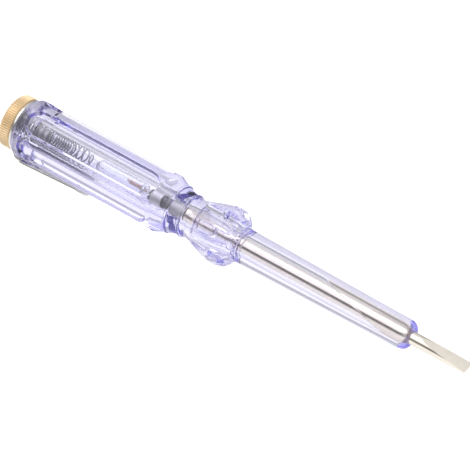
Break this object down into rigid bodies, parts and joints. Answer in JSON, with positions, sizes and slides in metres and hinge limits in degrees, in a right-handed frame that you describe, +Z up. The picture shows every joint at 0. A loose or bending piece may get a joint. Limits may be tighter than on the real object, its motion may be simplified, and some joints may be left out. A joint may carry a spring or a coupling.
{
  "type": "voltage tester pen",
  "caption": "Mains voltage tester pen: clear fluted handle with a glow lamp and resistor inside, screw cap, pocket clip and a sleeved flat blade.",
  "frame": {"origin": "centre of the screw cap's flat rear face, on the pen's axis", "axes": "+X along the pen from the cap to the blade's tip, +Z up as the pen lies on a table with its clip low on the -Y side"},
  "size_m": [0.1251, 0.014, 0.0145],
  "materials": {
    "clear_violet": "clear pale violet moulding, polished",
    "blade_steel": "nickel plated, ground flats",
    "cap_brass": "pale gold, knurled",
    "clip_nickel": "nickel plated pressing",
    "spring_steel": "drawn wire",
    "lamp_glass": "clear",
    "electrode_nickel": "coated, brownish",
    "lead_wire": "tinned wire",
    "resistor_coat": "dark lacquer",
    "resistor_plate": "tinned cap"
  },
  "bodies": {
    "handle": {"handle_body": "clear_violet", "blade_sleeve": "clear_violet", "blade": "blade_steel", "clip_ring": "clip_nickel", "lamp_glass": "lamp_glass", "lamp_electrode_upper": "electrode_nickel", "lamp_electrode_lower": "electrode_nickel", "lamp_lead_front": "lead_wire", "lamp_lead_rear": "lead_wire", "resistor_body": "resistor_coat", "resistor_cap_rear": "resistor_plate", "resistor_cap_front": "resistor_plate"},
    "spring": {"contact_spring": "spring_steel"},
    "cap": {"end_cap": "cap_brass"},
    "clip": {"clip_arm": "clip_nickel"}
  },
  "joints": [
    {"name": "cap_travel", "type": "slide", "parent": "handle", "child": "spring", "axis": [-1, 0, 0], "range_m": [0, 0.0036], "deforming": ["contact_spring"]},
    {"name": "cap_turn", "type": "hinge", "parent": "spring", "child": "cap", "pos_m": [0, 0, 0], "axis": [-1, 0, 0], "range_deg": [0, 1620.1]},
    {"name": "clip_flex", "type": "hinge", "parent": "handle", "child": "clip", "pos_m": [0.00415, -0.00441, -0.00575], "axis": [0, 0.7934, -0.6088], "range_deg": [0, 8], "stiffness_Nm_per_rad": 0.3, "springref_deg": -1.72}
  ],
  "couplings": [
    {"joint": "cap_turn", "follows": "cap_travel", "rad_per_m": 7854}
  ]
}
